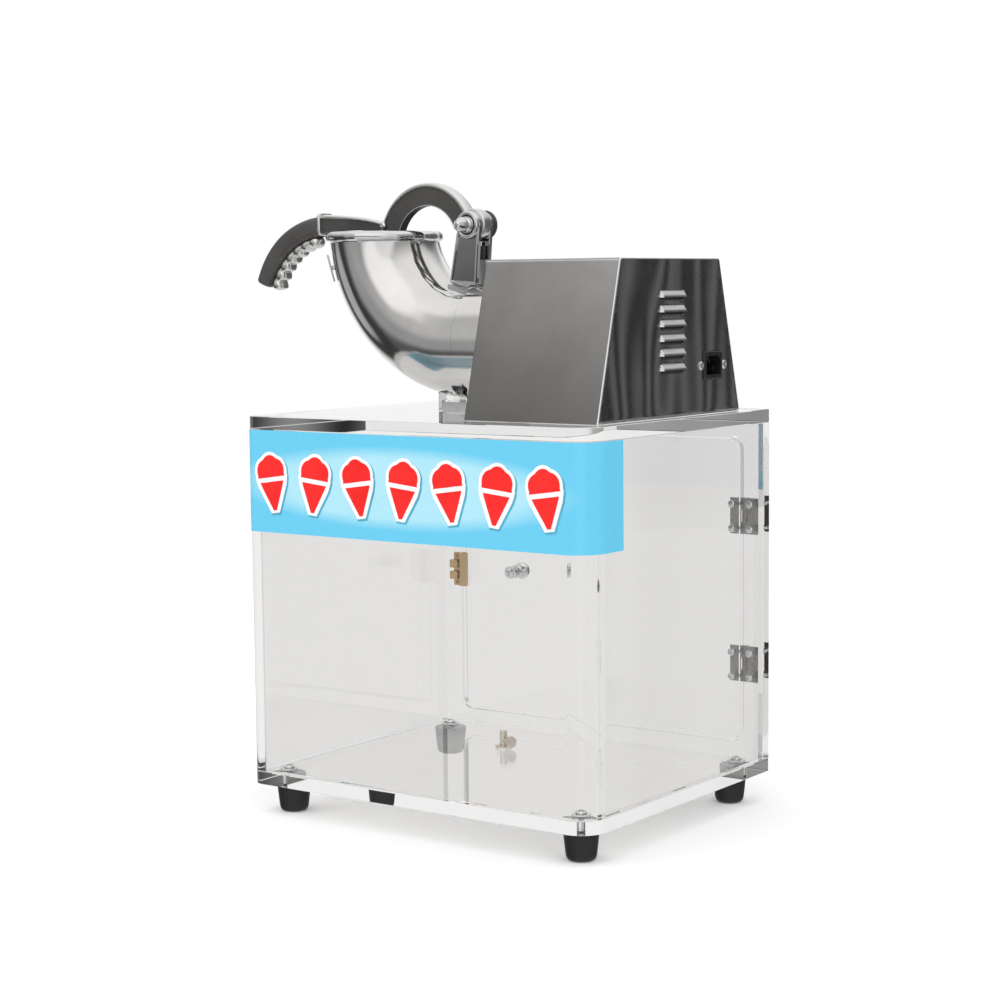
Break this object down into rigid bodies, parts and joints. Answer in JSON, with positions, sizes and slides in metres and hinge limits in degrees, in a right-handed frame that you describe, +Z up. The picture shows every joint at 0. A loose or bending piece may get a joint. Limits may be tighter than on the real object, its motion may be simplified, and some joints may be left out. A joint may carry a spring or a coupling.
{
  "type": "shaved ice machine",
  "caption": "Counter-top ice shaver: a cast hopper elbow with a lever handle and motor housing on a clear display cabinet with a hinged rear door and rubber feet.",
  "frame": {"origin": "centre of the overall bounding box at its base, on the surface that the four feet stand on", "axes": "+X runs along the front face towards the motor end, +Y runs from the banner at the front to the door at the back, +Z is up"},
  "size_m": [0.4892, 0.3234, 0.5803],
  "materials": {
    "acrylic": "clear, polished faces and flame-polished edges",
    "banner_film": "printed film behind clear sheet, blue with pale centre",
    "rubber": "matte moulded",
    "stainless": "fine brushed",
    "polished_steel": "polished sheet with light waviness",
    "chrome": "bright plated",
    "brass": "polished",
    "black_plastic": "fine texture",
    "red_plastic": "moulded gloss",
    "cast_aluminium": "satin, tumbled casting",
    "motor_paint": "semi-matte enamel",
    "motor_steel": "laminated stack, varnished",
    "grip_plastic": "satin moulded",
    "satin_strip": "satin"
  },
  "bodies": {
    "machine": {"cabinet_shell": "acrylic", "top_plate": "acrylic", "bottom_plate": "acrylic", "back_panel": "acrylic", "support_block": "acrylic", "banner": "banner_film", "foot_front_left": "rubber", "foot_front_right": "rubber", "foot_back_left": "rubber", "foot_back_right": "rubber", "foot_screw_front_left": "stainless", "foot_screw_front_right": "stainless", "foot_screw_back_left": "stainless", "foot_screw_back_right": "stainless", "upper_hinge_panel_leaf": "stainless", "lower_hinge_panel_leaf": "stainless", "ice_chute": "stainless", "support_screw": "stainless", "housing_base": "stainless", "housing_cover": "polished_steel", "hopper": "polished_steel", "hopper_badge": "polished_steel", "inlet_screw_front": "chrome", "inlet_screw_back": "chrome", "pivot_bolt": "chrome", "dome_nut": "chrome", "front_bearing": "chrome", "rear_bearing": "chrome", "drain_fitting": "brass", "catch_body": "brass", "power_inlet": "black_plastic", "switch_bezel": "black_plastic", "safety_switch": "black_plastic", "cutter_housing": "cast_aluminium", "motor_adapter": "cast_aluminium", "motor_cradle": "cast_aluminium", "pivot_bracket": "cast_aluminium", "motor_casing": "motor_paint"},
    "door": {"door": "acrylic", "door_knob": "chrome", "knob_screw": "stainless", "upper_hinge_door_leaf": "stainless", "lower_hinge_door_leaf": "stainless", "catch_strike": "brass"},
    "handle": {"arm": "cast_aluminium", "collar_band": "chrome", "grip": "grip_plastic", "finger_strip": "satin_strip", "arm_screw": "chrome", "pusher_arm": "stainless", "pusher_plate": "cast_aluminium"},
    "rotor": {"drive_shaft": "stainless", "armature": "motor_steel", "fan": "black_plastic", "blade_disc": "stainless", "blade_1": "stainless", "blade_2": "stainless"},
    "rocker": {"rocker_switch": "red_plastic"},
    "plunger": {"safety_plunger": "black_plastic"}
  },
  "joints": [
    {"name": "handle_lift", "type": "hinge", "parent": "machine", "child": "handle", "pos_m": [0.01932, -0.00785, 0.54], "axis": [0, 1, 0], "range_deg": [0, 100]},
    {"name": "door_swing", "type": "hinge", "parent": "machine", "child": "door", "pos_m": [0.21182, 0.14815, 0.1974], "axis": [0, 0, -1], "range_deg": [0, 110]},
    {"name": "blade_spin", "type": "hinge", "parent": "machine", "child": "rotor", "pos_m": [0.05582, -0.00785, 0.43308], "axis": [1, 0, 0], "continuous": true},
    {"name": "rocker_press", "type": "hinge", "parent": "machine", "child": "rocker", "pos_m": [0.18582, 0.09594, 0.4203], "axis": [1, 0, 0], "range_deg": [0, 14]},
    {"name": "plunger_press", "type": "slide", "parent": "machine", "child": "plunger", "axis": [0, 0, 1], "range_m": [-0.002, 0], "stiffness_N_per_m": 200}
  ]
}
